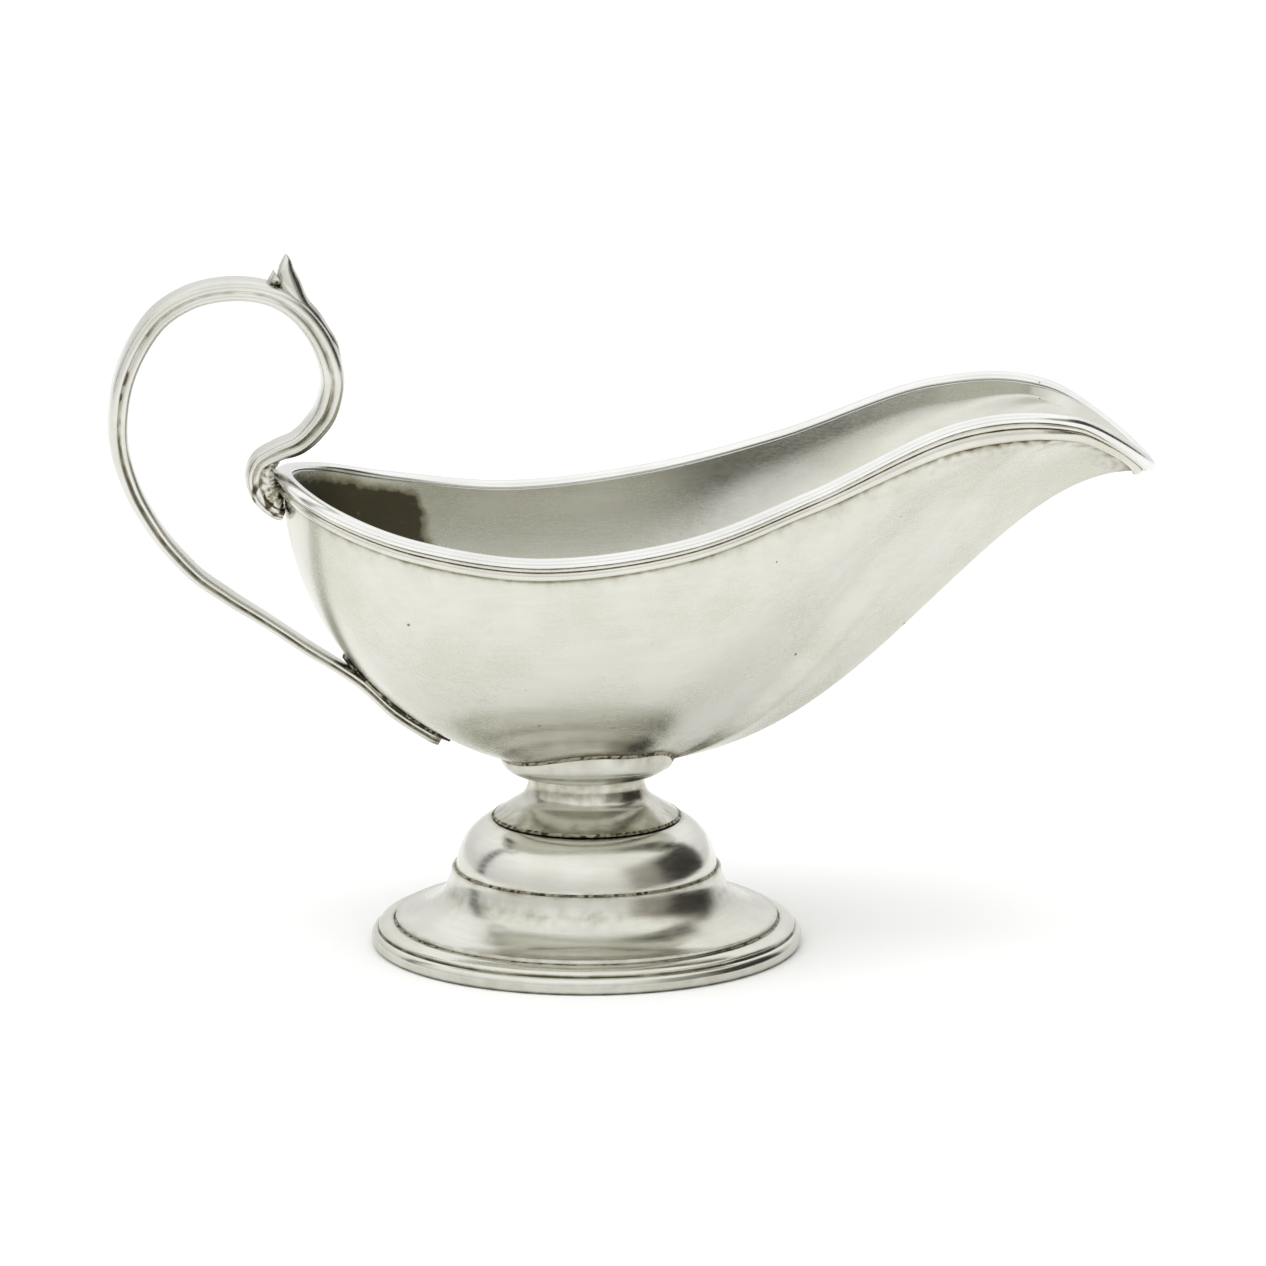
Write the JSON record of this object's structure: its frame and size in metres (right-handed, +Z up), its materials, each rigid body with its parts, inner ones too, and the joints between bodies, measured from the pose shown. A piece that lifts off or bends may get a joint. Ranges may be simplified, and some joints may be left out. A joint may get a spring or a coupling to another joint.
{
  "type": "footed sauce boat",
  "caption": "Footed pewter sauce boat with an open pouring spout, a reeded lip, a looped strap handle with a thumb spur, and a turned pedestal foot.",
  "frame": {"origin": "on the surface that the foot rests on, on the axis of the turned foot", "axes": "+Z up along the foot's axis, +X from the foot towards the spout, so the handle is on -X; XZ is the mirror plane"},
  "size_m": [0.2183, 0.0898, 0.1477],
  "materials": {
    "pewter": "satin pewter, warm grey, softly polished by hand",
    "worn_pewter": "pewter rubbed bright along the lip",
    "solder": "dull dark solder with a rough surface"
  },
  "bodies": {
    "root": {"body_shell": "pewter", "lip_wire_left": "worn_pewter", "lip_wire_right": "worn_pewter", "upper_reed_left": "pewter", "upper_reed_right": "pewter", "lower_reed_left": "pewter", "lower_reed_right": "pewter", "handle": "pewter", "thumb_spur": "pewter", "solder_spur": "solder", "solder_handle_top": "solder", "solder_handle_tail": "solder", "collar": "pewter", "solder_collar": "solder", "stem": "pewter", "solder_stem": "solder", "dome": "pewter", "solder_dome": "solder", "skirt": "pewter", "solder_skirt": "solder", "foot_ring": "pewter"}
  },
  "joints": []
}
